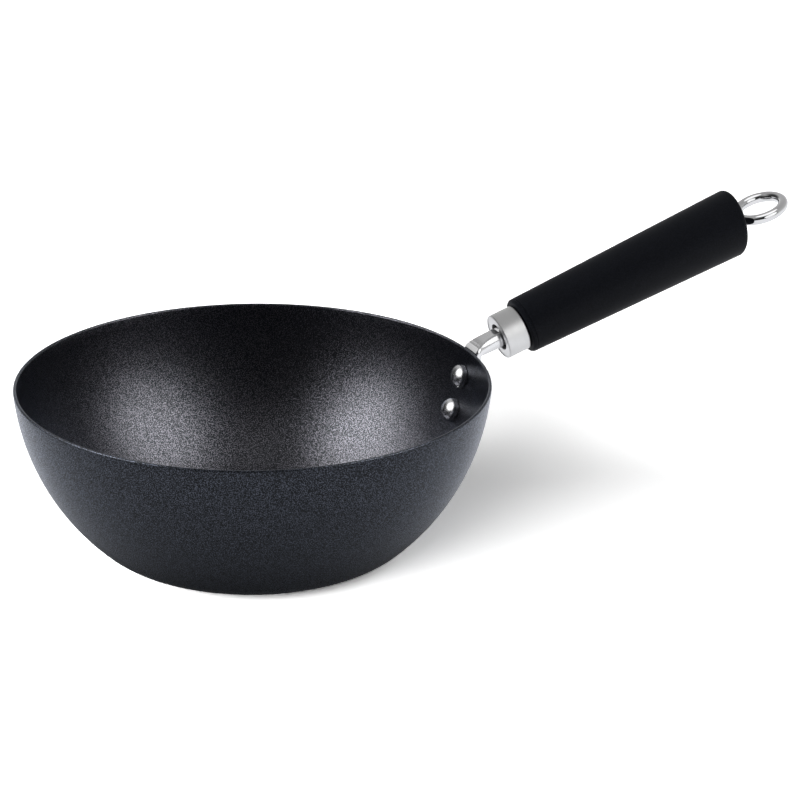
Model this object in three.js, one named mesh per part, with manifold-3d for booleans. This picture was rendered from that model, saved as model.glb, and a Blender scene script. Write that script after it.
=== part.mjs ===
// Nonstick wok: a pressed bowl, a riveted steel tang, a ferrule, a tapered grip and a hanging ring.
// Millimetres, +Z up. The origin is the centre of the flat base, and the handle runs towards +X.

import * as THREE from 'three';
import { mergeVertices } from 'three/addons/utils/BufferGeometryUtils.js';
import Module from 'manifold-3d';

// Bowl
const rimDiameter = 200;         // outside, at the rim
const bowlHeight = 73.75;        // base to the top of the rim
const bowlWall = 1.5;
const baseDiameter = 93;         // the flat that stands on the hob
const footRadius = 32;           // outside curve between base and wall
const rimFlare = 5;              // degrees the wall still leans out at the rim

// Handle line: where the ferrule's front face stands, and how the handle rises
const ferruleReach = 13.65;      // out from the rim
const ferruleRise = 3.63;        // up from the rim
const handleTilt = 18.4;         // degrees above level

// Tang: a round rod, pressed flat into a strap that follows the outside of the wall
const rodDiameter = 8.8;
const rodInGrip = 34;            // length of rod inside the grip
const strapWidth = 12;           // at the bend over the rim
const plateWidth = 16;           // riveted on the wall
const plateThickness = 3;
const bendRadius = 3.5;          // centre line of the bend between plate and rod
const edgeAngle = 40;            // degrees, half the arc of the strap's barrelled edges
const flatDepth = 1;             // of the two flats on the rod where it leaves the ferrule
const pressedLength = 11.9;      // from the ferrule's face to where the strap is fully flat
const pressedPower = 3;          // how late the press takes hold
const plateEdge = 7.5;           // lower rivet to the end of the plate

// Rivets
const rivetShank = 5;
const rivetBelowBend = 10.1;     // along the wall, bend to upper rivet
const rivetPitch = 16;           // along the wall
const rivetHeadDiameter = 10;    // domed, inside the bowl
const rivetHeadHeight = 5;
const rivetHeadSide = 2.2;       // straight side of the head, below the dome
const rivetTailDiameter = 8;     // set down on the plate
const rivetTailHeight = 1.6;

// Ferrule
const ferruleDiameter = 20;
const ferruleLength = 10.3;
const ferruleFace = 2;           // thickness of the front wall
const ferruleSkirt = 1.4;        // thickness of the sleeve
const ferruleEdge = 0.5;         // rounding of both rims
const ferruleHole = 1;           // all round the rod

// Grip
const gripStandoff = 0.6;        // bare neck between ferrule and grip
const gripFrontDiameter = 24.5;
const gripEndDiameter = 29.1;
const gripLength = 108.2;        // along the axis
const gripFrontEdge = 1.3;       // rounding of the front rim
const gripEndEdge = 2.2;         // rounding of the rear rim
const gripSlant = 9.4;           // degrees, the rear face leans so that the top is longer

// Hanging ring: an eye whose screwed stem runs through the grip into the rod
const ringHole = 16.4;
const ringWire = 4.5;
const ringStandoff = 1;          // clear of the grip's rear face
const stemDiameter = 5;
const stemInRod = 14;            // length screwed into the rod
const collarDiameter = 9;
const collarThickness = 1.8;
const collarSeat = 1.5;          // depth of the collar's seat in the grip

// Fits
const seatGap = 0.3;             // between faces that seat on each other
const boreGap = 0.3;             // all round what passes through a hole
const cutPast = 1;               // how far a cutting tool runs past the face it cuts

// Facets
const bowlSides = 72;
const roundSides = 36;
const rivetSides = 24;
const tangSides = 24;
const arcStep = 6;               // degrees between points on a bowl arc
const edgeSteps = 4;             // points on a small rounding
const bendSteps = 8;

const radians = THREE.MathUtils.degToRad;
const at = (x, y) => new THREE.Vector2(x, y);
const polar = (centre, radius, angle) => at(
  centre.x + radius * Math.cos(angle),
  centre.y + radius * Math.sin(angle),
);

// Points on an arc, both ends included
function arc(centre, radius, from, to, steps) {
  const points = [];
  for (let i = 0; i <= steps; i += 1) {
    points.push(polar(centre, radius, from + ((to - from) * i) / steps));
  }
  return points;
}

const stepsFor = (from, to) => Math.max(2, Math.ceil(Math.abs(to - from) / radians(arcStep)));

// Solids: welded closed meshes, joined and cut
const wasm = await Module();
wasm.setup();

function toSolid(geometry) {
  const bare = geometry.clone();
  bare.deleteAttribute('normal');
  bare.deleteAttribute('uv');
  const welded = mergeVertices(bare);
  const corners = welded.index.array;
  const kept = [];
  for (let i = 0; i < corners.length; i += 3) {
    const [a, b, c] = [corners[i], corners[i + 1], corners[i + 2]];
    if (a !== b && b !== c && c !== a) kept.push(a, b, c);
  }
  return new wasm.Manifold(new wasm.Mesh({
    numProp: 3,
    vertProperties: new Float32Array(welded.attributes.position.array),
    triVerts: new Uint32Array(kept),
  }));
}

function toGeometry(solid) {
  const mesh = solid.getMesh();
  const geometry = new THREE.BufferGeometry();
  geometry.setAttribute('position', new THREE.BufferAttribute(mesh.vertProperties, 3));
  geometry.setIndex(new THREE.BufferAttribute(mesh.triVerts, 1));
  geometry.computeVertexNormals();
  return geometry;
}

// A profile of (radius, distance along the axis), turned about +X
const turned = (profile, sides) => new THREE.LatheGeometry(profile, sides).rotateZ(-Math.PI / 2);

// A plain cylinder along +X
function rod(diameter, from, to, sides) {
  const radius = diameter / 2;
  return turned([at(0, from), at(radius, from), at(radius, to), at(0, to)], sides);
}

function piece(name, geometry, look) {
  const mesh = new THREE.Mesh(geometry, new THREE.MeshStandardMaterial(look));
  mesh.name = name;
  return mesh;
}

// The bowl's section, in (radius, height): a foot arc that runs tangent into one wide wall arc
const wall = (() => {
  const flare = radians(rimFlare);
  const rim = at(rimDiameter / 2, bowlHeight - (bowlWall / 2) * (1 + Math.sin(flare)));
  const footCentre = at(baseDiameter / 2, footRadius);
  const inward = at(Math.cos(flare), -Math.sin(flare));
  const chord = rim.clone().sub(footCentre);
  const radius = (chord.lengthSq() - footRadius ** 2) / (2 * (chord.dot(inward) - footRadius));
  const centre = rim.clone().addScaledVector(inward, -radius);
  const footAngle = Math.atan2(footCentre.y - centre.y, footCentre.x - centre.x);
  return { centre, radius, footCentre, footAngle, rimAngle: -flare };
})();

// The tang's centre line, in (x, z): up the wall, round the bend, out along the handle
const handleStart = at(rimDiameter / 2 + ferruleReach, bowlHeight + ferruleRise);
const tilt = radians(handleTilt);
const along = at(Math.cos(tilt), Math.sin(tilt));
const above = at(-Math.sin(tilt), Math.cos(tilt));

const tangLine = (() => {
  const radius = wall.radius + seatGap + plateThickness / 2;
  const level = handleStart.clone().addScaledVector(above, -bendRadius).sub(wall.centre);
  const half = level.dot(along);
  const reach = -half + Math.sqrt(half ** 2 - level.lengthSq() + (radius + bendRadius) ** 2);
  const bendCentre = wall.centre.clone().add(level).addScaledVector(along, reach);
  const bendAngle = Math.atan2(bendCentre.y - wall.centre.y, bendCentre.x - wall.centre.x);
  const upperRivet = bendAngle - rivetBelowBend / radius;
  const lowerRivet = upperRivet - rivetPitch / radius;
  const plateEnd = lowerRivet - plateEdge / radius;
  return { radius, bendCentre, bendAngle, reach, upperRivet, lowerRivet, plateEnd };
})();

const rodRadius = rodDiameter / 2;
const gripStart = ferruleLength + gripStandoff;
const gripEnd = gripStart + gripLength;
const rodEnd = gripStart + rodInGrip;

// Frame of everything on the handle: +X along the handle, from the ferrule's front face
const handle = new THREE.Group();
handle.position.set(handleStart.x, 0, handleStart.y);
handle.rotation.y = -tilt;
handle.updateMatrix();

// Frame of a rivet: +X out through the wall, from the centre of the wall's arc
function rivetFrame(angle) {
  const frame = new THREE.Group();
  frame.position.set(wall.centre.x, 0, wall.centre.y);
  frame.rotation.y = -angle;
  frame.updateMatrix();
  return frame;
}
const rivetAngles = { upper: tangLine.upperRivet, lower: tangLine.lowerRivet };

// The holes that both rivets pass through, in the bowl or in the plate
function drillForRivets(solid) {
  const inside = wall.radius - bowlWall - rivetHeadHeight;
  const outside = tangLine.radius + plateThickness + rivetTailHeight;
  let drilled = solid;
  for (const angle of Object.values(rivetAngles)) {
    const drill = rod(rivetShank + 2 * boreGap, inside, outside, rivetSides);
    drilled = drilled.subtract(toSolid(drill.applyMatrix4(rivetFrame(angle).matrix)));
  }
  return drilled;
}

function makeBowl() {
  const { centre, radius, footCentre, footAngle, rimAngle } = wall;
  const down = -Math.PI / 2;
  const inner = radius - bowlWall;
  const footSteps = stepsFor(down, footAngle);
  const wallSteps = stepsFor(footAngle, rimAngle);
  const lip = polar(centre, radius - bowlWall / 2, rimAngle);
  const profile = [
    at(0, 0),
    ...arc(footCentre, footRadius, down, footAngle, footSteps),
    ...arc(centre, radius, footAngle, rimAngle, wallSteps).slice(1),
    ...arc(lip, bowlWall / 2, rimAngle, rimAngle + Math.PI, edgeSteps).slice(1, -1),
    ...arc(centre, inner, rimAngle, footAngle, wallSteps),
    ...arc(footCentre, footRadius - bowlWall, footAngle, down, footSteps).slice(1),
    at(0, bowlWall),
  ];
  const shell = new THREE.LatheGeometry(profile, bowlSides).rotateX(Math.PI / 2);
  const coating = { color: 0x2c2e34, roughness: 0.42, metalness: 0.35 };
  return piece('bowl', toGeometry(drillForRivets(toSolid(shell))), coating);
}

// Shapes of the tang's section: half its thickness, half its width, half the arc of its edges
const shape = (half, wide, edge) => ({ half, wide, edge });
const roundEdge = Math.PI * (0.5 - 1 / tangSides);
const roundRod = shape(rodRadius * Math.sin(roundEdge), rodRadius, roundEdge);
const flattedRod = shape(rodRadius - flatDepth, rodRadius, Math.asin(1 - flatDepth / rodRadius));
const strap = (width) => shape(plateThickness / 2, width / 2, radians(edgeAngle));

function between(first, last, share) {
  const mix = (key) => THREE.MathUtils.lerp(first[key], last[key], share);
  return shape(mix('half'), mix('wide'), mix('edge'));
}

// A section as (across, out) points: two barrelled edges between two flats
function tangSection({ half, wide, edge }) {
  const perEdge = tangSides / 2;
  const radius = half / Math.sin(edge);
  const points = [];
  for (const side of [1, -1]) {
    for (let i = 0; i < perEdge; i += 1) {
      const turn = side * ((2 * i) / (perEdge - 1) - 1);
      const point = polar(at(wide - radius, 0), radius, turn * edge);
      points.push(at(side * point.x, point.y));
    }
  }
  return points;
}

// A station on the tang: a point of the centre line, the way out of it, its section,
// and how far it is bent round the bowl with the wall
const station = (point, out, section, hugging) => ({ point, out, section, hugging });

function tangStations() {
  const { radius, bendCentre, bendAngle, reach, upperRivet, plateEnd } = tangLine;
  const stations = [];
  const onWall = (angle, width) => {
    stations.push(station(polar(wall.centre, radius, angle), polar(at(0, 0), 1, angle), strap(width), 1));
  };
  // Round end of the plate
  const endRadius = plateWidth / 2;
  const endSteps = 6;
  for (let i = 1; i <= endSteps; i += 1) {
    const turn = (i / endSteps) * (Math.PI / 2);
    onWall(plateEnd + (endRadius * (1 - Math.cos(turn))) / radius, plateWidth * Math.sin(turn));
  }
  // Plate at full width, then narrowing to the bend
  const plateTop = plateEnd + endRadius / radius;
  const plateSteps = 3;
  for (let i = 1; i <= plateSteps; i += 1) {
    onWall(plateTop + ((upperRivet - plateTop) * i) / plateSteps, plateWidth);
  }
  for (let i = 1; i <= plateSteps; i += 1) {
    const done = i / plateSteps;
    const eased = THREE.MathUtils.smoothstep(done, 0, 1);
    const width = THREE.MathUtils.lerp(plateWidth, strapWidth, eased);
    onWall(upperRivet + (bendAngle - upperRivet) * done, width);
  }
  // Round the bend, letting go of the wall, and out to the ferrule as a rod with two flats
  const bendFrom = bendAngle + Math.PI;
  const bendTo = tilt + Math.PI / 2;
  const bendLength = bendRadius * (bendFrom - bendTo);
  const pressedAt = (left) => {
    const share = Math.min(left / pressedLength, 1) ** pressedPower;
    return between(flattedRod, strap(strapWidth), share);
  };
  for (let i = 1; i <= bendSteps; i += 1) {
    const done = i / bendSteps;
    const angle = bendFrom + (bendTo - bendFrom) * done;
    const out = polar(at(0, 0), -1, angle);
    const point = polar(bendCentre, bendRadius, angle);
    stations.push(station(point, out, pressedAt(bendLength * (1 - done) - reach), 1 - done));
  }
  const below = above.clone().negate();
  const onHandle = (distance, section) => {
    stations.push(station(handleStart.clone().addScaledVector(along, distance), below, section, 0));
  };
  const rodSteps = 6;
  for (let i = 1; i <= rodSteps; i += 1) {
    const left = -reach * (1 - i / rodSteps);
    onHandle(-left, pressedAt(left));
  }
  // Round again behind the ferrule's front wall, and on into the grip
  onHandle(ferruleFace, roundRod);
  onHandle(rodEnd, roundRod);
  return stations;
}

// A station's section in space, wrapped round the bowl's axis as far as it hugs the wall
function tangRing({ point, out, section, hugging }) {
  return tangSection(section).map((offset) => {
    const x = point.x + out.x * offset.y;
    const z = point.y + out.y * offset.y;
    const wrap = offset.x / point.x;
    const wrapped = new THREE.Vector3(x * Math.cos(wrap), x * Math.sin(wrap), z);
    return new THREE.Vector3(x, offset.x, z).lerp(wrapped, hugging);
  });
}

// A closed skin over rings of equal point counts, with a flat fan at each end
function loft(rings) {
  const count = rings[0].length;
  const points = rings.flat();
  const corners = [];
  const next = (i) => (i + 1) % count;
  for (let row = 0; row < rings.length - 1; row += 1) {
    for (let i = 0; i < count; i += 1) {
      const [a, b] = [row * count + i, row * count + next(i)];
      corners.push(a, b + count, b, a, a + count, b + count);
    }
  }
  const last = (rings.length - 1) * count;
  for (let i = 1; i < count - 1; i += 1) {
    corners.push(0, i, i + 1, last, last + i + 1, last + i);
  }
  return new THREE.BufferGeometry().setFromPoints(points).setIndex(corners);
}

function makeTang() {
  const bar = toSolid(loft(tangStations().map(tangRing)));
  const holeEnd = rodEnd - stemInRod - seatGap;
  const hole = rod(stemDiameter + 2 * boreGap, holeEnd, rodEnd + cutPast, rivetSides);
  const tapped = bar.subtract(toSolid(hole.applyMatrix4(handle.matrix)));
  const polished = { color: 0xd6d6d8, roughness: 0.16, metalness: 1 };
  return piece('tang', toGeometry(drillForRivets(tapped)), polished);
}

// Points of a dome on the axis, from its rim to its crown; side is the way it bulges
function dome(diameter, height, base, side) {
  const half = diameter / 2;
  const radius = (half ** 2 + height ** 2) / (2 * height);
  const centre = base + side * (height - radius);
  const rimAngle = Math.asin(half / radius);
  const points = [];
  for (let i = 0; i <= edgeSteps; i += 1) {
    const angle = rimAngle * (1 - i / edgeSteps);
    points.push(at(radius * Math.sin(angle), centre + side * radius * Math.cos(angle)));
  }
  return points;
}

// A rivet through wall and plate: tall domed head inside the bowl, set tail on the plate.
// Distances run along the rivet from the centre of the wall's arc, so both seats follow the wall.
function makeRivet(name, angle) {
  const onSphere = (radius, off) => at(off, Math.sqrt(radius ** 2 - off ** 2));
  const headSeat = wall.radius - bowlWall - seatGap;
  const tailSeat = tangLine.radius + plateThickness / 2 + seatGap;
  const headRim = onSphere(headSeat, rivetHeadDiameter / 2);
  const tailRim = onSphere(tailSeat, rivetTailDiameter / 2);
  const domeHeight = rivetHeadHeight - rivetHeadSide;
  const profile = [
    ...dome(rivetHeadDiameter, domeHeight, headRim.y - rivetHeadSide, -1).reverse(),
    headRim,
    onSphere(headSeat, rivetShank / 2),
    onSphere(tailSeat, rivetShank / 2),
    ...dome(rivetTailDiameter, rivetTailHeight, tailRim.y, 1),
  ];
  const bright = { color: 0xd0d0d2, roughness: 0.25, metalness: 1 };
  const mesh = piece(name, toGeometry(toSolid(turned(profile, rivetSides))), bright);
  return rivetFrame(angle).add(mesh);
}

// A cup whose front wall lets the rod through and whose sleeve holds the grip's spigot
function makeFerrule() {
  const outer = ferruleDiameter / 2;
  const inner = outer - ferruleSkirt;
  const hole = rodRadius + ferruleHole;
  const quarter = Math.PI / 2;
  const profile = [
    at(hole, 0),
    ...arc(at(outer - ferruleEdge, ferruleEdge), ferruleEdge, -quarter, 0, edgeSteps),
    ...arc(at(outer - ferruleEdge, ferruleLength - ferruleEdge), ferruleEdge, 0, quarter, edgeSteps),
    at(inner, ferruleLength),
    at(inner, ferruleFace),
    at(hole, ferruleFace),
    at(hole, 0),
  ];
  const satin = { color: 0xb4b4b6, roughness: 0.38, metalness: 1 };
  return piece('ferrule', toGeometry(toSolid(turned(profile, roundSides))), satin);
}

// A tapered grip: spigot in the ferrule, rounded rims, slanted rear face, stepped bore
function makeGrip() {
  const front = gripFrontDiameter / 2;
  const rear = gripEndDiameter / 2;
  const spigot = ferruleDiameter / 2 - ferruleSkirt - boreGap;
  const quarter = Math.PI / 2;
  const outline = [
    at(0, ferruleFace + seatGap),
    at(spigot, ferruleFace + seatGap),
    at(spigot, gripStart),
    ...arc(at(front - gripFrontEdge, gripStart + gripFrontEdge), gripFrontEdge, -quarter, 0, edgeSteps),
    ...arc(at(rear - gripEndEdge, gripEnd - gripEndEdge), gripEndEdge, 0, quarter, edgeSteps),
    at(0, gripEnd),
  ];
  const body = turned(outline, roundSides);
  const slope = Math.tan(radians(gripSlant));
  const spots = body.attributes.position;
  for (let i = 0; i < spots.count; i += 1) {
    if (spots.getX(i) > (gripStart + gripEnd) / 2) spots.setX(i, spots.getX(i) + slope * spots.getZ(i));
  }
  const rodBore = rodRadius + boreGap;
  const stemBore = stemDiameter / 2 + boreGap;
  const collarBore = collarDiameter / 2 + boreGap;
  const past = gripEnd + slope * collarBore + cutPast;
  const bore = turned([
    at(0, ferruleFace - cutPast),
    at(rodBore, ferruleFace - cutPast),
    at(rodBore, rodEnd + seatGap),
    at(stemBore, rodEnd + seatGap),
    at(stemBore, gripEnd - collarSeat),
    at(collarBore, gripEnd - collarSeat),
    at(collarBore, past),
    at(0, past),
  ], roundSides);
  const moulded = { color: 0x1b1c1f, roughness: 0.62, metalness: 0 };
  return piece('grip', toGeometry(toSolid(body).subtract(toSolid(bore))), moulded);
}

function makeHangingRing() {
  const wire = ringWire / 2;
  const ringRadius = ringHole / 2 + wire;
  const wireStart = gripEnd + ringStandoff + wire;
  const collarStart = gripEnd - collarSeat + seatGap;
  const wireSides = 12;
  const eye = new THREE.TorusGeometry(ringRadius, wire, wireSides, roundSides);
  eye.translate(wireStart + ringRadius, 0, 0);
  const stem = rod(stemDiameter, rodEnd - stemInRod, wireStart, rivetSides);
  const collar = rod(collarDiameter, collarStart, collarStart + collarThickness, rivetSides);
  const joined = toSolid(eye).add(toSolid(stem)).add(toSolid(collar));
  const chromed = { color: 0xdcdcde, roughness: 0.1, metalness: 1 };
  return piece('hanging_ring', toGeometry(joined), chromed);
}

const wok = new THREE.Group();
wok.add(makeBowl(), makeTang(), handle);
for (const [place, angle] of Object.entries(rivetAngles)) wok.add(makeRivet(`rivet_${place}`, angle));
handle.add(makeFerrule(), makeGrip(), makeHangingRing());

export default wok;
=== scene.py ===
import math

import bpy
from mathutils import Matrix, Vector


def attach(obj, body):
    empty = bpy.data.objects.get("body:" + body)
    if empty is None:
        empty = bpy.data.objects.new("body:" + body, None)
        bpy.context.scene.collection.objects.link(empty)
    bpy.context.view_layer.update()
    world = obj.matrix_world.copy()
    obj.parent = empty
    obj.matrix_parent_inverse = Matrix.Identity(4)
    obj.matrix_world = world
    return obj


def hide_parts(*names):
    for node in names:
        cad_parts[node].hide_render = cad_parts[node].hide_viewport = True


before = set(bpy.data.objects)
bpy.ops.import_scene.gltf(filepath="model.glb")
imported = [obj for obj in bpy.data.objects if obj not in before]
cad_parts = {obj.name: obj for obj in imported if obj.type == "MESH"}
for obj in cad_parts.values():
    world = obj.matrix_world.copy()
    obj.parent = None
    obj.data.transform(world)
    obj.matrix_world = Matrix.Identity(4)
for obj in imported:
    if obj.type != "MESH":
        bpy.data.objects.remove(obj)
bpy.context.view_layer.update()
mm = 0.001
quarter = math.pi / 2
weld = 0.002 * mm  # points closer than this become one
holeSides = 48


# Flat drawing: outlines are (distance from the axis, distance along it)

def polar(centre, radius, angle):
    return Vector((centre[0] + radius * math.cos(angle), centre[1] + radius * math.sin(angle)))


def arcPoints(centre, radius, start, stop, steps):
    return [polar(centre, radius, start + (stop - start) * i / steps) for i in range(steps + 1)]


def ease(value):
    value = min(max(value, 0), 1)
    return value * value * (3 - 2 * value)


def blend(first, last, share):
    return first + (last - first) * share


# Modelling steps that several pieces share

def clearSelection():
    bpy.ops.object.select_all(action="DESELECT")


def makeActive(piece):
    clearSelection()
    piece.select_set(True)
    bpy.context.view_layer.objects.active = piece


def closeMesh(piece):
    makeActive(piece)
    bpy.ops.object.mode_set(mode="EDIT")
    bpy.ops.mesh.select_all(action="SELECT")
    bpy.ops.mesh.remove_doubles(threshold=weld)
    bpy.ops.mesh.normals_make_consistent(inside=False)
    bpy.ops.object.mode_set(mode="OBJECT")


def spinOutline(name, outline, sides):
    clearSelection()
    bpy.ops.mesh.primitive_plane_add(size=mm, location=(0, 0, 0))
    piece = bpy.context.object
    piece.name = name
    bpy.ops.object.mode_set(mode="EDIT")
    bpy.ops.mesh.select_all(action="SELECT")
    bpy.ops.mesh.merge(type="CENTER")  # one point to draw the outline from
    bpy.ops.mesh.select_mode(type="VERT")
    bpy.ops.transform.translate(value=(outline[0][0], 0, outline[0][1]))
    for here, there in zip(outline, outline[1:]):
        step = (there[0] - here[0], 0, there[1] - here[1])
        bpy.ops.mesh.extrude_vertices_move(TRANSFORM_OT_translate={"value": step})
    bpy.ops.mesh.select_all(action="SELECT")
    bpy.ops.mesh.spin(steps=sides, angle=2 * math.pi, center=(0, 0, 0), axis=(0, 0, 1))
    bpy.ops.object.mode_set(mode="OBJECT")
    closeMesh(piece)
    return piece


# Stands a spun piece's axis along a line that rises by angle from level, in the XZ plane
def layAlong(piece, start, angle):
    makeActive(piece)
    place = Matrix.Translation((start[0], 0, start[1]))
    piece.matrix_world = place @ Matrix.Rotation(quarter - angle, 4, "Y")
    bpy.ops.object.transform_apply(location=True, rotation=True, scale=True)
    return piece


def applyModifier(piece, kind, **settings):
    makeActive(piece)
    modifier = piece.modifiers.new(kind.lower(), kind)
    for name, value in settings.items():
        setattr(modifier, name, value)
    bpy.ops.object.modifier_apply(modifier=modifier.name)


def combine(piece, tool, operation):
    applyModifier(piece, "BOOLEAN", operation=operation, object=tool, solver="EXACT")
    bpy.data.objects.remove(tool)
    closeMesh(piece)


def cutHole(piece, radius, start, end, origin, angle):
    outline = [(0, start), (radius, start), (radius, end), (0, end)]
    drill = layAlong(spinOutline("drill", outline, holeSides), origin, angle)
    combine(piece, drill, "DIFFERENCE")


def finishPiece(piece, node, material, sharpAngle):
    makeActive(piece)
    bpy.ops.object.shade_smooth_by_angle(angle=math.radians(sharpAngle))
    piece.data.materials.clear()
    piece.data.materials.append(material)
    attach(piece, "root")
    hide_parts(node)
    print(node, len(piece.data.polygons), "faces")


# Node helpers

def addNode(tree, kind, inputs=None, **settings):
    made = tree.nodes.new(kind)
    for name, value in settings.items():
        setattr(made, name, value)
    for name, value in (inputs or {}).items():
        if isinstance(value, bpy.types.NodeSocket):
            tree.links.new(value, made.inputs[name])
        else:
            made.inputs[name].default_value = value
    return made


def startGroup(name, inputs, outputs):
    tree = bpy.data.node_groups.new(name, "ShaderNodeTree")
    kind = "NodeSocketFloat"
    for label, value in inputs.items():
        socket = tree.interface.new_socket(name=label, in_out="INPUT", socket_type=kind)
        socket.default_value = value
    for label in outputs:
        tree.interface.new_socket(name=label, in_out="OUTPUT", socket_type=kind)
    return tree, tree.nodes.new("NodeGroupInput"), tree.nodes.new("NodeGroupOutput")


def startMaterial(name, **constants):
    material = bpy.data.materials.new(name)
    material.use_nodes = True
    tree = material.node_tree
    shader = tree.nodes["Principled BSDF"]
    for label, value in constants.items():
        shader.inputs[label].default_value = value
    return material, tree, shader


def placeGroup(tree, group, inputs):
    return addNode(tree, "ShaderNodeGroup", inputs, node_tree=group)


def calculate(tree, operation, first, second):
    return addNode(tree, "ShaderNodeMath", {0: first, 1: second}, operation=operation).outputs[0]


def alongside(tree, first, second):
    made = addNode(tree, "ShaderNodeVectorMath", {0: first, 1: second}, operation="DOT_PRODUCT")
    return made.outputs["Value"]


def toRange(tree, value, low, high):
    made = addNode(tree, "ShaderNodeMapRange", {"Value": value, "To Min": low, "To Max": high})
    return made.outputs["Result"]


def toColours(tree, value, stops):
    made = addNode(tree, "ShaderNodeValToRGB", {"Fac": value})
    ramp = made.color_ramp
    while len(ramp.elements) < len(stops):
        ramp.elements.new(0.5)
    for element, (position, colour) in zip(ramp.elements, stops):
        element.position = position
        element.color = (*colour[:3], 1)
    return made.outputs["Color"]


def mixColours(tree, share, first, second, **settings):
    made = addNode(tree, "ShaderNodeMix", {0: share, 6: first, 7: second}, data_type="RGBA", **settings)
    return made.outputs[2]


def addBump(tree, shader, height, strength, distance):
    bump = addNode(tree, "ShaderNodeBump", {"Height": height, "Strength": strength, "Distance": distance})
    tree.links.new(bump.outputs["Normal"], shader.inputs["Normal"])


# Effects that more than one finish uses

def makeGrainGroup():
    tree, given, result = startGroup(
        "fineGrain", {"Scale": 1000, "Fleck From": 0.5, "Fleck To": 0.6}, ["Grain", "Fleck"])
    place = addNode(tree, "ShaderNodeTexCoord").outputs["Object"]
    scale = given.outputs["Scale"]
    pebble = addNode(tree, "ShaderNodeTexNoise",
                     {"Vector": place, "Scale": scale, "Detail": 1, "Roughness": 0.6})
    # the flecks come from elsewhere in the noise, so that they don't sit on the pebbles
    aside = addNode(tree, "ShaderNodeVectorMath", {0: place, 1: (0.31, 0.17, 0.43)}, operation="ADD")
    spots = addNode(tree, "ShaderNodeTexNoise",
                    {"Vector": aside.outputs["Vector"], "Scale": scale, "Detail": 0})
    fleck = addNode(tree, "ShaderNodeMapRange",
                    {"Value": spots.outputs["Fac"], "From Min": given.outputs["Fleck From"],
                     "From Max": given.outputs["Fleck To"]})
    tree.links.new(pebble.outputs["Fac"], result.inputs["Grain"])
    tree.links.new(fleck.outputs["Result"], result.inputs["Fleck"])
    return tree


def makeSmudgeGroup():
    tree, given, result = startGroup("handlingMarks", {"Scale": 30, "Softness": 0.2}, ["Smudge"])
    place = addNode(tree, "ShaderNodeTexCoord").outputs["Object"]
    cloud = addNode(tree, "ShaderNodeTexNoise",
                    {"Vector": place, "Scale": given.outputs["Scale"], "Detail": 4, "Roughness": 0.55,
                     "Distortion": 0.8})
    softness = given.outputs["Softness"]
    mask = addNode(tree, "ShaderNodeMapRange",
                   {"Value": cloud.outputs["Fac"], "From Min": calculate(tree, "SUBTRACT", 0.5, softness),
                    "From Max": calculate(tree, "ADD", 0.5, softness)})
    tree.links.new(mask.outputs["Result"], result.inputs["Smudge"])
    return tree


# Fine lines that run round the handle's axis, left by a lathe or a drawing die
def makeTurnedGroup(tilt):
    tree, given, result = startGroup("turnedLines", {"Along": 2000, "Across": 30}, ["Lines"])
    place = addNode(tree, "ShaderNodeTexCoord").outputs["Object"]
    level = addNode(tree, "ShaderNodeMapping", {"Vector": place, "Rotation": (0, tilt, 0)})
    across = given.outputs["Across"]
    stretch = addNode(tree, "ShaderNodeCombineXYZ", {"X": given.outputs["Along"], "Y": across, "Z": across})
    scaled = addNode(tree, "ShaderNodeVectorMath",
                     {0: level.outputs["Vector"], 1: stretch.outputs["Vector"]}, operation="MULTIPLY")
    lines = addNode(tree, "ShaderNodeTexNoise", {"Vector": scaled.outputs["Vector"], "Scale": 1, "Detail": 3})
    tree.links.new(lines.outputs["Fac"], result.inputs["Lines"])
    return tree


# Bowl: its section is a foot arc that runs into one wide wall arc.
# In each piece, an edge stays sharp where its faces meet at more than the sharp angle, in degrees

bowlSize = {
    "rimRadius": 100 * mm,
    "height": 73.75 * mm,
    "wall": 1.5 * mm,
    "baseRadius": 46.5 * mm,
    "footRadius": 32 * mm,
    "flare": math.radians(5),  # the wall still leans out at the rim
    "sides": 216,
    "arcSteps": 22,
    "rimSteps": 8,
    "sharp": 40,
}


def readWall():
    flare, thick = bowlSize["flare"], bowlSize["wall"]
    rim = Vector((bowlSize["rimRadius"], bowlSize["height"] - thick / 2 * (1 + math.sin(flare))))
    footCentre = Vector((bowlSize["baseRadius"], bowlSize["footRadius"]))
    inward = Vector((math.cos(flare), -math.sin(flare)))
    chord = rim - footCentre
    foot = bowlSize["footRadius"]
    radius = (chord.length_squared - foot ** 2) / (2 * (chord.dot(inward) - foot))
    centre = rim - inward * radius
    toFoot = footCentre - centre
    return {"centre": centre, "radius": radius, "footCentre": footCentre,
            "footAngle": math.atan2(toFoot.y, toFoot.x), "rimAngle": -flare}


wall = readWall()


def buildBowl(material):
    thick, steps = bowlSize["wall"], bowlSize["arcSteps"]
    foot, footCentre = bowlSize["footRadius"], wall["footCentre"]
    footAngle, rimAngle = wall["footAngle"], wall["rimAngle"]
    lip = polar(wall["centre"], wall["radius"] - thick / 2, rimAngle)
    outline = [Vector((0, 0))]
    outline += arcPoints(footCentre, foot, -quarter, footAngle, steps)
    outline += arcPoints(wall["centre"], wall["radius"], footAngle, rimAngle, steps)[1:]
    outline += arcPoints(lip, thick / 2, rimAngle, rimAngle + math.pi, bowlSize["rimSteps"])[1:-1]
    outline += arcPoints(wall["centre"], wall["radius"] - thick, rimAngle, footAngle, steps)
    outline += arcPoints(footCentre, foot - thick, footAngle, -quarter, steps)[1:]
    outline += [Vector((0, thick))]
    bowl = spinOutline("bowl_shell", outline, bowlSize["sides"])
    drillForRivets(bowl)
    finishPiece(bowl, "bowl", material, bowlSize["sharp"])


# Handle: everything on it is placed from the ferrule's front face

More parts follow.
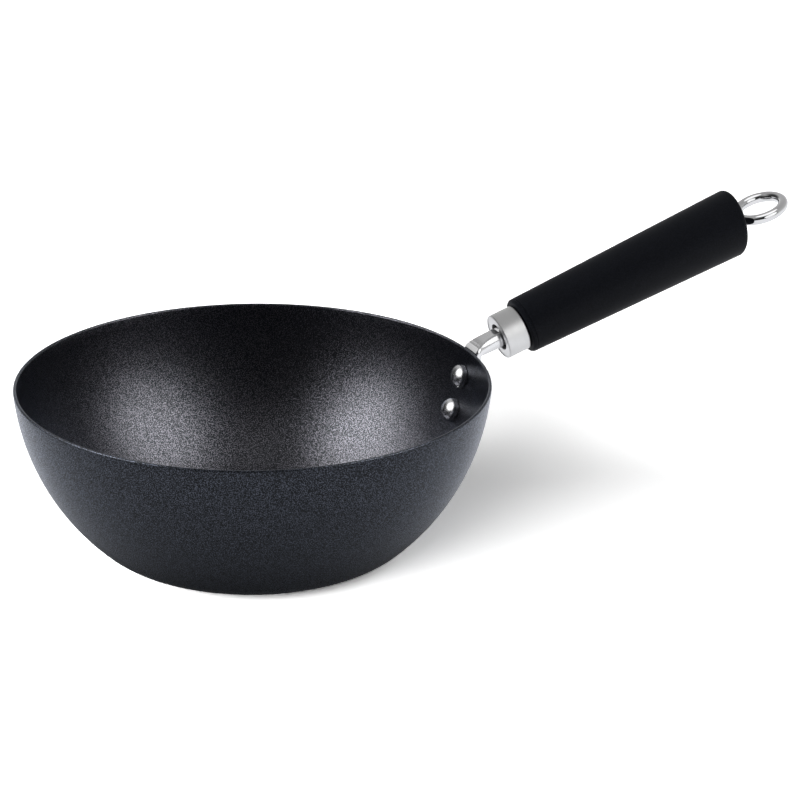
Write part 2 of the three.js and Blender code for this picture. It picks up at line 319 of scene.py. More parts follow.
handleLine = {
    "reach": 13.65 * mm,  # out from the rim
    "rise": 3.63 * mm,  # up from the rim
    "tilt": math.radians(18.4),
    "gap": 0.3 * mm,  # between faces that seat on each other
}
tilt = handleLine["tilt"]
gap = handleLine["gap"]
handleStart = Vector((bowlSize["rimRadius"] + handleLine["reach"], bowlSize["height"] + handleLine["rise"]))
along = Vector((math.cos(tilt), math.sin(tilt)))
above = Vector((-math.sin(tilt), math.cos(tilt)))

# Tang: a plate on the wall, a strap over the rim, and a rod into the grip

tangSize = {
    "rodRadius": 4.4 * mm,
    "rodEnd": 44.9 * mm,  # from the ferrule's face, inside the grip
    "strapWidth": 12 * mm,
    "plateWidth": 16 * mm,
    "thickness": 3 * mm,
    "bendRadius": 2 * mm,
    "edgeAngle": math.radians(40),
    "flatDepth": 1 * mm,  # two flats on the rod where it leaves the ferrule
    "roundFlat": 0.01 * mm,  # what is left of them on the round rod, which keeps its corners apart
    "pressedLength": 11.9 * mm,  # from the ferrule's face to where the strap is fully flat
    "crease": 0.25 * mm,  # rounding where a flat meets an edge
    "creaseSteps": 3,
    "creaseFrom": math.radians(30),
    "rivetBelowBend": 11.048 * mm,
    "rivetPitch": 16 * mm,
    "plateEdge": 7.5 * mm,
    "holeDepth": 14.3 * mm,
    "holeRadius": 2.8 * mm,
    "flatPoints": 10,
    "edgePoints": 14,
    "endSteps": 16,
    "plateSteps": 8,
    "narrowSteps": 12,
    "bendSteps": 16,
    "rodSteps": 20,
    "sharp": 24,
}


def readTangLine():
    radius = wall["radius"] + gap + tangSize["thickness"] / 2
    bend = tangSize["bendRadius"]
    level = handleStart - above * bend - wall["centre"]
    half = level.dot(along)
    reach = -half + math.sqrt(half ** 2 - level.length_squared + (radius + bend) ** 2)
    bendCentre = wall["centre"] + level + along * reach
    toBend = bendCentre - wall["centre"]
    bendAngle = math.atan2(toBend.y, toBend.x)
    upper = bendAngle - tangSize["rivetBelowBend"] / radius
    lower = upper - tangSize["rivetPitch"] / radius
    return {"radius": radius, "reach": reach, "bendCentre": bendCentre, "bendAngle": bendAngle,
            "upper": upper, "lower": lower, "plateEnd": lower - tangSize["plateEdge"] / radius}


tangLine = readTangLine()


# A section of the tang is half its thickness, half its width, and half the arc of its edges

def strapShape(width):
    return Vector((tangSize["thickness"] / 2, width / 2, tangSize["edgeAngle"]))


def rodShape(flatDepth):
    radius = tangSize["rodRadius"]
    return Vector((radius - flatDepth, radius, math.asin(1 - flatDepth / radius)))


# Its points, in (across, out): two barrelled edges between two flats
def tangSection(shape):
    half, wide, edgeAngle = shape
    edgeRadius = half / math.sin(edgeAngle)
    centre = (wide - edgeRadius, 0)
    flatPoints = tangSize["flatPoints"]
    points = []
    for side in (1, -1):
        edge = arcPoints(centre, edgeRadius, -side * edgeAngle, side * edgeAngle, tangSize["edgePoints"])
        points += [Vector((side * point.x, point.y)) for point in edge]
        start = points[-1]
        for i in range(1, flatPoints):
            points.append(Vector((blend(start.x, -start.x, i / flatPoints), start.y)))
    return points


# Where each section goes: its centre, which way is out, its shape, and how far it follows the wall's curve
def tangStations():
    radius, bend = tangLine["radius"], tangSize["bendRadius"]
    width, strap = tangSize["plateWidth"], tangSize["strapWidth"]
    stations = []

    def onWall(angle, wide):
        place = polar(wall["centre"], radius, angle)
        stations.append((place, polar((0, 0), 1, angle), strapShape(wide), 1))

    # round end of the plate, its full width, then narrowing to the bend
    steps = tangSize["endSteps"]
    for i in range(1, steps + 1):
        turn = quarter * i / steps
        onWall(tangLine["plateEnd"] + width / 2 * (1 - math.cos(turn)) / radius, width * math.sin(turn))
    plateTop = tangLine["plateEnd"] + width / 2 / radius
    steps = tangSize["plateSteps"]
    for i in range(1, steps + 1):
        onWall(blend(plateTop, tangLine["upper"], i / steps), width)
    steps = tangSize["narrowSteps"]
    for i in range(1, steps + 1):
        share = i / steps
        onWall(blend(tangLine["upper"], tangLine["bendAngle"], share), blend(width, strap, ease(share)))
    # over the bend, letting go of the wall, and out to the ferrule as a rod with two flats
    bendFrom, bendTo = tangLine["bendAngle"] + math.pi, tilt + quarter
    bendLength, straight = bend * (bendFrom - bendTo), -tangLine["reach"]

    def pressedShape(left):
        share = min(left / tangSize["pressedLength"], 1) ** 3
        return rodShape(tangSize["flatDepth"]).lerp(strapShape(strap), share)

    steps = tangSize["bendSteps"]
    for i in range(1, steps + 1):
        share = i / steps
        angle = blend(bendFrom, bendTo, share)
        place = polar(tangLine["bendCentre"], bend, angle)
        shape = pressedShape(straight + bendLength * (1 - share))
        stations.append((place, polar((0, 0), -1, angle), shape, 1 - share))
    steps = tangSize["rodSteps"]
    for i in range(1, steps + 1):
        left = straight * (1 - i / steps)
        stations.append((handleStart - along * left, -above, pressedShape(left), 0))
    # round again behind the ferrule's front wall, and on into the grip
    for distance in (ferruleSize["face"], tangSize["rodEnd"]):
        stations.append((handleStart + along * distance, -above, rodShape(tangSize["roundFlat"]), 0))
    return stations


def tangRing(point, out, shape, hugging):
    ring = []
    for offset in tangSection(shape):
        x, z = point + out * offset.y
        wrap = offset.x / point.x
        flat = Vector((x, offset.x, z))
        ring.append(flat.lerp(Vector((x * math.cos(wrap), x * math.sin(wrap), z)), hugging))
    return ring


# A straight bar is extruded ring by ring, then each ring is moved to its station
def buildTang(material):
    rings = [tangRing(*station) for station in tangStations()]
    corners = len(rings[0])
    clearSelection()
    bpy.ops.mesh.primitive_circle_add(vertices=corners, radius=1)
    tang = bpy.context.object
    tang.name = "tang_bar"
    bpy.ops.object.mode_set(mode="EDIT")
    bpy.ops.mesh.select_all(action="SELECT")
    for i in range(len(rings) - 1):
        bpy.ops.mesh.extrude_edges_move(TRANSFORM_OT_translate={"value": (0, 0, 1)})
    bpy.ops.object.mode_set(mode="OBJECT")
    for vertex in tang.data.vertices:
        turn = math.atan2(vertex.co.y, vertex.co.x) / (2 * math.pi)
        vertex.co = rings[round(vertex.co.z)][round(turn * corners) % corners]
    makeActive(tang)
    bpy.ops.object.mode_set(mode="EDIT")
    bpy.ops.mesh.select_mode(type="EDGE")
    bpy.ops.mesh.select_all(action="DESELECT")
    bpy.ops.mesh.select_non_manifold()  # both open ends
    bpy.ops.mesh.fill_holes(sides=0)
    bpy.ops.object.mode_set(mode="OBJECT")
    closeMesh(tang)
    applyModifier(tang, "BEVEL", width=tangSize["crease"], segments=tangSize["creaseSteps"],
                  limit_method="ANGLE", angle_limit=tangSize["creaseFrom"])
    rodEnd = tangSize["rodEnd"]
    cutHole(tang, tangSize["holeRadius"], rodEnd - tangSize["holeDepth"], rodEnd + mm, handleStart, tilt)
    drillForRivets(tang)
    finishPiece(tang, "tang", material, tangSize["sharp"])


# Rivets: the heads point to the bowl's middle

rivetSize = {
    "shank": 2.5 * mm,
    "hole": 2.8 * mm,
    "drillIn": 8 * mm,  # how far the drill passes the wall and the plate
    "drillOut": 6 * mm,
    "headRadius": 5 * mm,
    "headHeight": 5 * mm,
    "headSide": 2.2 * mm,  # straight side of the head, below the dome
    "headRound": 1.5 * mm,
    "tailRadius": 4 * mm,
    "tailHeight": 1.6 * mm,
    "crownSteps": 14,
    "roundSteps": 8,
    "tailSteps": 8,
    "sides": 48,
    "sharp": 40,
}


def drillForRivets(piece):
    inside = wall["radius"] - rivetSize["drillIn"]
    outside = tangLine["radius"] + rivetSize["drillOut"]
    for angle in (tangLine["upper"], tangLine["lower"]):
        cutHole(piece, rivetSize["hole"], inside, outside, wall["centre"], angle)


def tailPoints(rim):
    half, height, steps = rivetSize["tailRadius"], rivetSize["tailHeight"], rivetSize["tailSteps"]
    radius = (half ** 2 + height ** 2) / (2 * height)
    centre = rim + (height - radius)
    rimAngle = math.asin(min(half / radius, 1))
    angles = [rimAngle * (1 - i / steps) for i in range(steps + 1)]
    return [Vector((radius * math.sin(a), centre + radius * math.cos(a))) for a in angles]


# A dome that rolls over into a straight side, from its crown down
def headPoints(rim):
    half, side, roll = rivetSize["headRadius"], rivetSize["headSide"], rivetSize["headRound"]
    rise = rivetSize["headHeight"] - side
    radius = (half ** 2 + rise ** 2) / (2 * rise)
    centre = (0, rim - side - rise + radius)
    rollUp = math.sqrt((radius - roll) ** 2 - (half - roll) ** 2)
    turn = math.atan2(half - roll, rollUp)
    crown = arcPoints(centre, radius, -quarter, turn - quarter, rivetSize["crownSteps"])
    rollCentre = (half - roll, centre[1] - rollUp)
    rolled = arcPoints(rollCentre, roll, turn - quarter, 0, rivetSize["roundSteps"])
    return crown + rolled[1:] + [Vector((half, rim))]


def buildRivets(material):
    headSeat = wall["radius"] - bowlSize["wall"] - gap
    tailSeat = tangLine["radius"] + tangSize["thickness"] / 2 + gap
    shank = rivetSize["shank"]

    def onSeat(radius, off):
        return Vector((off, math.sqrt(radius ** 2 - off ** 2)))

    outline = headPoints(onSeat(headSeat, rivetSize["headRadius"]).y)
    outline += [onSeat(headSeat, shank), onSeat(tailSeat, shank)]
    outline += tailPoints(onSeat(tailSeat, rivetSize["tailRadius"]).y)
    first = spinOutline("rivet_head_upper", outline, rivetSize["sides"])
    second = first.copy()
    second.data = first.data.copy()
    second.name = "rivet_head_lower"
    bpy.context.collection.objects.link(second)
    for rivet, place in ((first, "upper"), (second, "lower")):
        layAlong(rivet, wall["centre"], tangLine[place])
        finishPiece(rivet, "rivet_" + place, material, rivetSize["sharp"])


# Ferrule: a cup with a raised rim round its front face

ferruleSize = {
    "radius": 10 * mm,
    "length": 10.3 * mm,
    "face": 2 * mm,
    "skirt": 1.4 * mm,
    "edge": 0.5 * mm,
    "edgeSteps": 6,
    "rimWidth": 0.6 * mm,
    "rimStep": 0.28 * mm,
    "hole": 6 * mm,
    "holeEdge": 0.1 * mm,
    "sides": 120,
    "sharp": 32,
}


def buildFerrule(material):
    outer, edge, length = ferruleSize["radius"], ferruleSize["edge"], ferruleSize["length"]
    inner, hole, holeEdge = outer - ferruleSize["skirt"], ferruleSize["hole"], ferruleSize["holeEdge"]
    step, rim = ferruleSize["rimStep"], outer - ferruleSize["rimWidth"]
    steps = ferruleSize["edgeSteps"]
    outline = [Vector((hole, step + holeEdge)), Vector((hole + holeEdge, step))]
    outline += [Vector((rim - step, step)), Vector((rim, 0))]
    outline += arcPoints((outer - edge, edge), edge, -quarter, 0, steps)
    outline += arcPoints((outer - edge, length - edge), edge, 0, quarter, steps)
    outline += [Vector((inner, length)), Vector((inner, ferruleSize["face"]))]
    outline += [Vector((hole, ferruleSize["face"])), outline[0]]
    ferrule = layAlong(spinOutline("ferrule_cup", outline, ferruleSize["sides"]), handleStart, tilt)
    finishPiece(ferrule, "ferrule", material, ferruleSize["sharp"])


# Grip: a taper with a spigot for the ferrule, a stepped bore and a leaning rear face

gripSize = {
    "start": 10.9 * mm,
    "length": 108.2 * mm,
    "frontRadius": 12.25 * mm,
    "endRadius": 14.55 * mm,
    "frontEdge": 1.3 * mm,
    "endEdge": 2.2 * mm,
    "edgeSteps": 8,
    "slant": math.radians(9.4),
    "grooveAt": 1.75 * mm,
    "grooveWidth": 0.7 * mm,
    "grooveDepth": 0.3 * mm,
    "grooveSteps": 8,
    "collarSeat": 1.5 * mm,
    "near": 0.05 * mm,  # points this close count as on a face
    "sides": 120,
    "sharp": 40,
}


def buildGrip(material):
    start, front, rear = gripSize["start"], gripSize["frontRadius"], gripSize["endRadius"]
    end = start + gripSize["length"]
    spigot = ferruleSize["radius"] - ferruleSize["skirt"] - gap
    spigotEnd = ferruleSize["face"] + gap
    rodBore, stemBore = tangSize["rodRadius"] + gap, ringSize["stem"] + gap
    collarBore = ringSize["collarRadius"] + gap
    rodStop, seat = tangSize["rodEnd"] + gap, end - gripSize["collarSeat"]
    frontEdge, endEdge, steps = gripSize["frontEdge"], gripSize["endEdge"], gripSize["edgeSteps"]

    def body(distance):
        return blend(front, rear, (distance - start) / gripSize["length"])

    outline = [Vector((rodBore, spigotEnd)), Vector((spigot, spigotEnd)), Vector((spigot, start))]
    outline += arcPoints((front - frontEdge, start + frontEdge), frontEdge, -quarter, 0, steps)
    middle, halfWide = start + gripSize["grooveAt"], gripSize["grooveWidth"] / 2
    for i in range(gripSize["grooveSteps"] + 1):
        offset = -1 + 2 * i / gripSize["grooveSteps"]
        place = middle + offset * halfWide
        depth = gripSize["grooveDepth"] * math.cos(offset * quarter) ** 2
        outline.append(Vector((body(place) - depth, place)))
    outline += arcPoints((rear - endEdge, end - endEdge), endEdge, 0, quarter, steps)
    outline += [Vector((collarBore, end)), Vector((collarBore, seat)), Vector((stemBore, seat))]
    outline += [Vector((stemBore, rodStop)), Vector((rodBore, rodStop)), outline[0]]
    grip = spinOutline("grip_handle", outline, gripSize["sides"])
    # the rear face leans, so that the top is the longer side
    slope, near = math.tan(gripSize["slant"]), gripSize["near"]
    for vertex in grip.data.vertices:
        radius = math.hypot(vertex.co.x, vertex.co.y)
        onSeat = radius < collarBore + near and vertex.co.z < end - near
        if vertex.co.z > end - endEdge - near and not onSeat:
            vertex.co.z -= slope * vertex.co.x
    layAlong(grip, handleStart, tilt)
    finishPiece(grip, "grip", material, gripSize["sharp"])


# Hanging ring: an eye on a stem, with a collar that seats in the grip

ringSize = {
    "hole": 8.2 * mm,
    "wire": 2.25 * mm,
    "standoff": 1 * mm,
    "stem": 2.5 * mm,
    "stemInRod": 14 * mm,
    "collarRadius": 4.5 * mm,
    "collarThickness": 1.8 * mm,
    "collarEdge": 0.4 * mm,
    "collarSteps": 4,
    "neck": 3.1 * mm,
    "neckLength": 0.6 * mm,
    "sides": 120,
    "wireSides": 36,
    "stemSides": 48,
    "sharp": 35,
}


def buildRing(material):
    wire, end = ringSize["wire"], gripSize["start"] + gripSize["length"]
    ringRadius = ringSize["hole"] + wire
    wireStart = end + ringSize["standoff"] + wire
    collarStart = end - gripSize["collarSeat"] + gap
    collarEnd = collarStart + ringSize["collarThickness"]
    collar, edge, stem = ringSize["collarRadius"], ringSize["collarEdge"], ringSize["stem"]
    steps = ringSize["collarSteps"]
    stemStart = tangSize["rodEnd"] - ringSize["stemInRod"]
    clearSelection()
    bpy.ops.mesh.primitive_torus_add(
        major_segments=ringSize["sides"], minor_segments=ringSize["wireSides"], major_radius=ringRadius,
        minor_radius=wire, location=(0, 0, wireStart + ringRadius), rotation=(0, quarter, 0))
    ring = bpy.context.object
    ring.name = "ring_eye"
    bpy.ops.object.transform_apply(location=True, rotation=True, scale=True)
    outline = [Vector((0, stemStart)), Vector((stem - edge, stemStart)), Vector((stem, stemStart + edge))]
    outline += [Vector((stem, collarStart)), Vector((collar - edge, collarStart))]
    outline += arcPoints((collar - edge, collarStart + edge), edge, -quarter, 0, steps)[1:]
    outline += arcPoints((collar - edge, collarEnd - edge), edge, 0, quarter, steps)
    outline += [Vector((ringSize["neck"], collarEnd)), Vector((stem, collarEnd + ringSize["neckLength"]))]
    outline += [Vector((stem, wireStart)), Vector((0, wireStart))]
    combine(ring, spinOutline("stem", outline, ringSize["stemSides"]), "UNION")
    layAlong(ring, handleStart, tilt)
    finishPiece(ring, "hanging_ring", material, ringSize["sharp"])


# Finishes

coatLook = {
    "middle": (0, 0, -0.1),  # from the base's centre to inside the bowl, to tell its two faces apart
    "binder": (0.0010, 0.0014, 0.0022),
    "insideFleck": (0.0900, 0.0860, 0.0925),
    "outsideFleck": (0.052, 0.057, 0.067),
    "grain": {"Scale": 2700, "Fleck From": 0.545, "Fleck To": 0.595},
    "smudge": {"Scale": 22, "Softness": 0.25},
    "lacquerInside": 0.55,
    "lacquerOutside": (0.3, 1),  # between the flecks, and on them
    "rough": (0.27, 0.31),
    "uneven": 0.05,
    "pebbleHeight": 0.08 * mm,
}


# 1 on the outer face of the bowl, 0 on the inner one
def outerFace(tree):
    place = addNode(tree, "ShaderNodeTexCoord")
    arm = addNode(tree, "ShaderNodeVectorMath", {0: place.outputs["Object"], 1: coatLook["middle"]},
                  operation="ADD")
    facing = alongside(tree, arm.outputs["Vector"], place.outputs["Normal"])
    return calculate(tree, "GREATER_THAN", facing, 0)


def makeCoating(grain, smudge):
    material, tree, shader = startMaterial(
        "charcoal_coating", **{"IOR": 1.5, "Specular IOR Level": 0.08, "Specular Tint": (0.84, 0.93, 1, 1),
                               "Coat IOR": 1.3, "Coat Roughness": 0.3, "Coat Tint": (0.84, 0.87, 1, 1)})
    fine = placeGroup(tree, grain, coatLook["grain"])
    marks = placeGroup(tree, smudge, coatLook["smudge"])
    fleck, outer = fine.outputs["Fleck"], outerFace(tree)
    inside = toColours(tree, fleck, [(0, coatLook["binder"]), (1, coatLook["insideFleck"])])
    outside = toColours(tree, fleck, [(0, coatLook["binder"]), (1, coatLook["outsideFleck"])])
    tree.links.new(mixColours(tree, outer, inside, outside), shader.inputs["Base Color"])
    tree.links.new(fleck, shader.inputs["Metallic"])  # mica in the coat
    speckled = toRange(tree, fleck, *coatLook["lacquerOutside"])
    lacquer = addNode(tree, "ShaderNodeMix", {0: outer, 2: coatLook["lacquerInside"], 3: speckled},
                      data_type="FLOAT")
    tree.links.new(lacquer.outputs[0], shader.inputs["Coat Weight"])
    soft = toRange(tree, marks.outputs["Smudge"], *coatLook["rough"])
    uneven = toRange(tree, fine.outputs["Grain"], -coatLook["uneven"], coatLook["uneven"])
    tree.links.new(calculate(tree, "ADD", soft, uneven), shader.inputs["Roughness"])
    addBump(tree, shader, fine.outputs["Grain"], 1, coatLook["pebbleHeight"])
    return material


gripLook = {
    "dark": (0.0029, 0.0032, 0.0043),
    "light": (0.0067, 0.0074, 0.0098),
    "span": (0.3, 0.7),  # of the grain, from dark to light
    "grain": {"Scale": 1900},
    "smudge": {"Scale": 40, "Softness": 0.3},
    "rough": (0.50, 0.60),
    "grainStrength": 0.5,
    "grainHeight": 0.06 * mm,
}


def makeGripFinish(grain, smudge):
    material, tree, shader = startMaterial("matte_moulding", **{"IOR": 1.5, "Specular IOR Level": 0.08})
    fine = placeGroup(tree, grain, gripLook["grain"])
    marks = placeGroup(tree, smudge, gripLook["smudge"])
    low, high = gripLook["span"]
    colour = toColours(tree, fine.outputs["Grain"], [(low, gripLook["dark"]), (high, gripLook["light"])])
    tree.links.new(colour, shader.inputs["Base Color"])
    tree.links.new(toRange(tree, marks.outputs["Smudge"], *gripLook["rough"]), shader.inputs["Roughness"])
    addBump(tree, shader, fine.outputs["Grain"], gripLook["grainStrength"], gripLook["grainHeight"])
    return material


# Steels: lines gives how fine the tool marks are, strength how much they show
steelLooks = {
    "polished_steel": {"colour": (0.76, 0.76, 0.77), "rough": 0.16,
                       "lines": {"Along": 60, "Across": 1200}, "strength": 0.03},
    "bright_rivet": {"colour": (0.80, 0.80, 0.81), "rough": 0.25,
                     "lines": {"Along": 900, "Across": 900}, "strength": 0.15},
    "satin_ferrule": {"colour": (0.71, 0.71, 0.71), "rough": 0.45,
                      "lines": {"Along": 2600, "Across": 60}, "strength": 0.12},
    "chromed_wire": {"colour": (0.68, 0.68, 0.69), "rough": 0.05,
                     "lines": {"Along": 80, "Across": 80}, "strength": 0.01},
}
steelMarks = {
    "smudge": {"Scale": 60, "Softness": 0.3},
    "smudgedShade": 0.9,
    "roughSpread": 0.25,
    "lineHeight": 0.05 * mm,
}
ferruleFrontPaintedLight = {
    "colour": (0.93, 0.93, 0.93, 1),  # painted highlight: paler than the rest of the cup, standing in for light the face doesn't get
    "facing": 0.6,
}


def makeSteel(name, lines, smudge):
    look, spread = steelLooks[name], steelMarks["roughSpread"]
    material, tree, shader = startMaterial(name, **{"Metallic": 1})
    turned = placeGroup(tree, lines, look["lines"]).outputs["Lines"]
    marks = placeGroup(tree, smudge, steelMarks["smudge"])
    darker = tuple(value * steelMarks["smudgedShade"] for value in look["colour"])
    tint = toColours(tree, marks.outputs["Smudge"], [(0, darker), (1, look["colour"])])
    tree.links.new(tint, shader.inputs["Base Color"])
    rough = toRange(tree, turned, look["rough"] * (1 - spread), look["rough"] * (1 + spread))
    tree.links.new(rough, shader.inputs["Roughness"])
    addBump(tree, shader, turned, look["strength"], steelMarks["lineHeight"])
    return material


# Painted highlight on the ferrule's face that looks at the bowl: its colour is made paler, standing in for
# light it doesn't get
def paintFrontHighlight(material):
    tree = material.node_tree
    colour = tree.nodes["Principled BSDF"].inputs["Base Color"]
    tint = colour.links[0].from_socket
    normal = addNode(tree, "ShaderNodeTexCoord").outputs["Normal"]
    facing = alongside(tree, normal, (-math.cos(tilt), 0, -math.sin(tilt)))
    front = calculate(tree, "GREATER_THAN", facing, ferruleFrontPaintedLight["facing"])
    tree.links.new(mixColours(tree, front, tint, ferruleFrontPaintedLight["colour"]), colour)


grain = makeGrainGroup()
smudge = makeSmudgeGroup()
lines = makeTurnedGroup(tilt)

coating = makeCoating(grain, smudge)
gripFinish = makeGripFinish(grain, smudge)
steels = {name: makeSteel(name, lines, smudge) for name in steelLooks}
# painted highlight on the ferrule's front face
paintFrontHighlight(steels["satin_ferrule"])
print("finishes made")

buildBowl(coating)
buildTang(steels["polished_steel"])
buildRivets(steels["bright_rivet"])
buildFerrule(steels["satin_ferrule"])
buildGrip(gripFinish)
buildRing(steels["chromed_wire"])
print("pieces built")

# Stage: white paper in a white cove with two dark sides, and lamps that each light what they name

stage = {
    "floor": 12,
    "paper": 0.75,
    "paperSeen": 1.75,  # for the lens, so that the open floor is white
    "paperShiny": (1.15, 1.16, 1.19),  # for reflections, where the paper is a painted glow
    "paperShaded": 0.05,  # painted shade: share of that glow left under the bowl
    "underside": 120 * mm,  # how far out from the bowl painted shade reaches over the floor, in reflections
    "openness": (0.3, 0.95),  # where that painted shade starts and ends
    "shadeSamples": 8,
    "worldLevel": 0.03,
    "cove": [(0, 1), (0.12, 0.9), (0.35, 0.58), (1, 0.45)],  # height, and level there in reflections
    "lampDistance": 2.4,
    "lampAim": 50 * mm,
}
# Dark sides: turn as for the lamps, and where in that direction the dark starts and is full
darkSides = [
    {"turn": 180, "from": 0.3, "to": 0.75, "level": 0.06},
    {"turn": -75, "from": 0.6, "to": 0.85, "level": 0.08},
]
# Lamps: turn from straight behind the object, positive to the right; lift above the floor.
# A lamp with gloss shows only in reflections, and one without it lights only matte surfaces
lamps = {
    "leftBox": {"turn": -104, "lift": 37, "size": 1.75, "power": 82, "gloss": True, "lights": "bowl"},
    "rightBox": {"turn": 108, "lift": 41, "size": 1.9, "power": 65, "gloss": True, "lights": "bowl"},
    "topCard": {"turn": 180, "lift": 64, "size": 1.2, "power": 3, "gloss": True, "lights": "bowl"},
    "highStrip": {"turn": -66, "lift": 32, "size": 0.9, "power": 13, "gloss": True, "lights": "bowl"},
    "rivetCard": {"turn": -132, "lift": 50, "size": 3.4, "power": 40, "gloss": True, "lights": "rivets"},
    "bendCard": {"turn": -42, "lift": 15, "size": 1.2, "power": 2.6, "gloss": True, "lights": "tang"},
    "frontCard": {"turn": 146, "lift": 28, "size": 2.2, "power": 17, "gloss": True, "lights": "steel"},
    "ringCard": {"turn": 180, "lift": 84, "size": 2.2, "power": 13, "gloss": True, "lights": "ring"},
    "leftKey": {"turn": -82, "lift": 17, "size": 1.2, "power": 74, "gloss": False, "lights": "pieces"},
    "frontKey": {"turn": -157, "lift": 29, "size": 0.8, "power": 26, "gloss": False, "lights": "fittings"},
    "leftFill": {"turn": -128, "lift": 24, "size": 1, "power": 17, "gloss": False, "lights": "bowl"},
    "rightFill": {"turn": 138, "lift": 24, "size": 1, "power": 25, "gloss": False, "lights": "bowl"},
    "rightKey": {"turn": 108, "lift": 34, "size": 1.6, "power": 32, "gloss": False, "lights": "pieces"},
    "floorLeft": {"turn": -100, "lift": 17.5, "size": 1.6, "power": 88, "gloss": False, "lights": "floor"},
    "floorFront": {"turn": -154, "lift": 17.5, "size": 1.6, "power": 88, "gloss": False, "lights": "floor"},
    "floorFill": {"turn": 108, "lift": 34, "size": 1.6, "power": 23, "gloss": False, "lights": "floor"},
}
rivetHeads = ["rivet_head_upper", "rivet_head_lower"]
handleSteel = ["tang_bar", "ferrule_cup", "ring_eye"]
fittings = [*rivetHeads, *handleSteel, "grip_handle"]
litPieces = {
    "bowl": ["bowl_shell"],
    "rivets": rivetHeads,
    "tang": ["tang_bar"],
    "ring": ["ring_eye"],
    "steel": handleSteel,
    "fittings": fittings,
    "pieces": ["bowl_shell", *fittings],
    "floor": ["floor"],
}
lens = {
    "azimuth": math.radians(24.1),  # the handle points right and away from the lens
    "elevation": math.radians(20.79),
    "roll": math.radians(-0.22),
    "distance": 1.6,
    "focal": 172.13,
    "sensor": 36,
    "right": 61.55 * mm,
    "down": 7.27 * mm,
    "aimHeight": 73.54 * mm,
}


# Light Path: rays of the lens, and with them reflected and refracted rays, which see the white background
def addSeen(tree):
    path = addNode(tree, "ShaderNodeLightPath").outputs
    byLens = path["Is Camera Ray"]
    shiny = calculate(tree, "MAXIMUM", byLens, path["Is Glossy Ray"])
    return byLens, calculate(tree, "MAXIMUM", shiny, path["Is Transmission Ray"])


def grey(level):
    return (level, level, level, 1)


# Direction from the object, for a turn and a lift in radians
def directionTo(turn, lift):
    turn += lens["azimuth"]
    return Vector((math.sin(turn) * math.cos(lift), math.cos(turn) * math.cos(lift), math.sin(lift)))


def buildFloor():
    clearSelection()
    bpy.ops.mesh.primitive_plane_add(size=stage["floor"], location=(0, 0, 0))
    floor = bpy.context.object
    floor.name = "floor"
    material = bpy.data.materials.new("white_paper")
    material.use_nodes = True
    tree = material.node_tree
    tree.nodes.clear()
    byLens, seen = addSeen(tree)
    tone = mixColours(tree, byLens, grey(stage["paper"]), grey(stage["paperSeen"]))
    paper = addNode(tree, "ShaderNodeBsdfDiffuse", {"Color": tone})
    # in reflections the paper is a painted glow of even white that the lamps don't light, and painted shade
    # from ambient occlusion darkens it where it runs under the bowl
    opening = addNode(tree, "ShaderNodeAmbientOcclusion", {"Distance": stage["underside"]},
                      samples=stage["shadeSamples"])
    shaded = [level * stage["paperShaded"] for level in stage["paperShiny"]]
    closed, opened = stage["openness"]
    shiny = toColours(tree, opening.outputs["AO"], [(closed, shaded), (opened, stage["paperShiny"])])
    glow = addNode(tree, "ShaderNodeEmission", {"Color": shiny, "Strength": 1})
    reflected = calculate(tree, "SUBTRACT", seen, byLens)
    surface = addNode(tree, "ShaderNodeMixShader", {0: reflected, 1: paper.outputs[0], 2: glow.outputs[0]})
    addNode(tree, "ShaderNodeOutputMaterial", {"Surface": surface.outputs[0]})
    material.cycles.emission_sampling = "NONE"  # the glow is only seen, it isn't a lamp
    floor.data.materials.append(material)


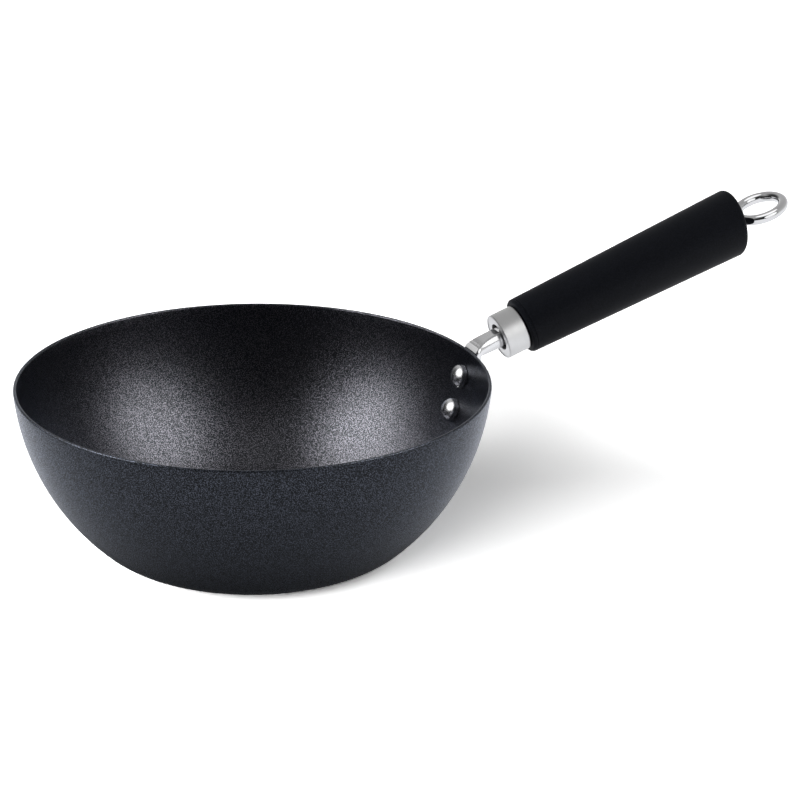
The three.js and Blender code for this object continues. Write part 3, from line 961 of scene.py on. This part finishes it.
def buildWorld():
    world = bpy.data.worlds.new("studio")
    bpy.context.scene.world = world
    world.use_nodes = True
    tree = world.node_tree
    tree.nodes.clear()
    byLens, seen = addSeen(tree)
    place = addNode(tree, "ShaderNodeTexCoord").outputs["Generated"]
    # a white cove at floor level that dims towards the ceiling, and dark sides of the room
    height = addNode(tree, "ShaderNodeSeparateXYZ", {"Vector": place}).outputs["Z"]
    reflected = toColours(tree, height, [(stop, grey(level)) for stop, level in stage["cove"]])
    for side in darkSides:
        toSide = alongside(tree, place, directionTo(math.radians(side["turn"]), 0))
        dark = toColours(tree, toSide, [(side["from"], grey(1)), (side["to"], grey(side["level"]))])
        reflected = mixColours(tree, 1, reflected, dark, blend_type="MULTIPLY")
    shown = mixColours(tree, byLens, reflected, grey(1))
    bright = addNode(tree, "ShaderNodeBackground", {"Color": shown, "Strength": 1})
    fill = addNode(tree, "ShaderNodeBackground", {"Color": grey(1), "Strength": stage["worldLevel"]})
    mixed = addNode(tree, "ShaderNodeMixShader", {0: seen, 1: fill.outputs[0], 2: bright.outputs[0]})
    addNode(tree, "ShaderNodeOutputWorld", {"Surface": mixed.outputs[0]})


def buildLamps():
    groups = {}
    for name, pieces in litPieces.items():
        groups[name] = bpy.data.collections.new("lit_" + name)
        for piece in pieces:
            groups[name].objects.link(bpy.data.objects[piece])
    aim = Vector((0, 0, stage["lampAim"]))
    for name, lamp in lamps.items():
        toward = directionTo(math.radians(lamp["turn"]), math.radians(lamp["lift"]))
        light = bpy.data.lights.new(name, "AREA")
        light.shape = "DISK"
        light.size = lamp["size"]
        light.energy = lamp["power"]
        holder = bpy.data.objects.new(name, light)
        holder.location = aim + toward * stage["lampDistance"]
        holder.rotation_euler = (-toward).to_track_quat("-Z", "Y").to_euler()
        holder.visible_glossy = lamp["gloss"]
        holder.visible_diffuse = not lamp["gloss"]
        holder.light_linking.receiver_collection = groups[lamp["lights"]]
        bpy.context.collection.objects.link(holder)


def buildCamera():
    turn, roll = lens["azimuth"], lens["roll"]
    levelRight = Vector((math.cos(turn), -math.sin(turn), 0))
    forward = directionTo(0, -lens["elevation"])
    levelDown = forward.cross(levelRight)
    right = math.cos(roll) * levelRight + math.sin(roll) * levelDown
    down = -math.sin(roll) * levelRight + math.cos(roll) * levelDown
    aim = Vector((0, 0, lens["aimHeight"])) + right * lens["right"] + down * lens["down"]
    camera = bpy.data.objects.new("camera", bpy.data.cameras.new("camera"))
    camera.data.sensor_width = lens["sensor"]
    camera.data.lens = lens["focal"]
    camera.matrix_world = Matrix((right, -down, -forward)).transposed().to_4x4()
    camera.location = aim - forward * lens["distance"]
    bpy.context.collection.objects.link(camera)
    bpy.context.scene.camera = camera


buildFloor()
buildWorld()
buildLamps()
buildCamera()
bpy.context.scene.view_settings.view_transform = "Standard"
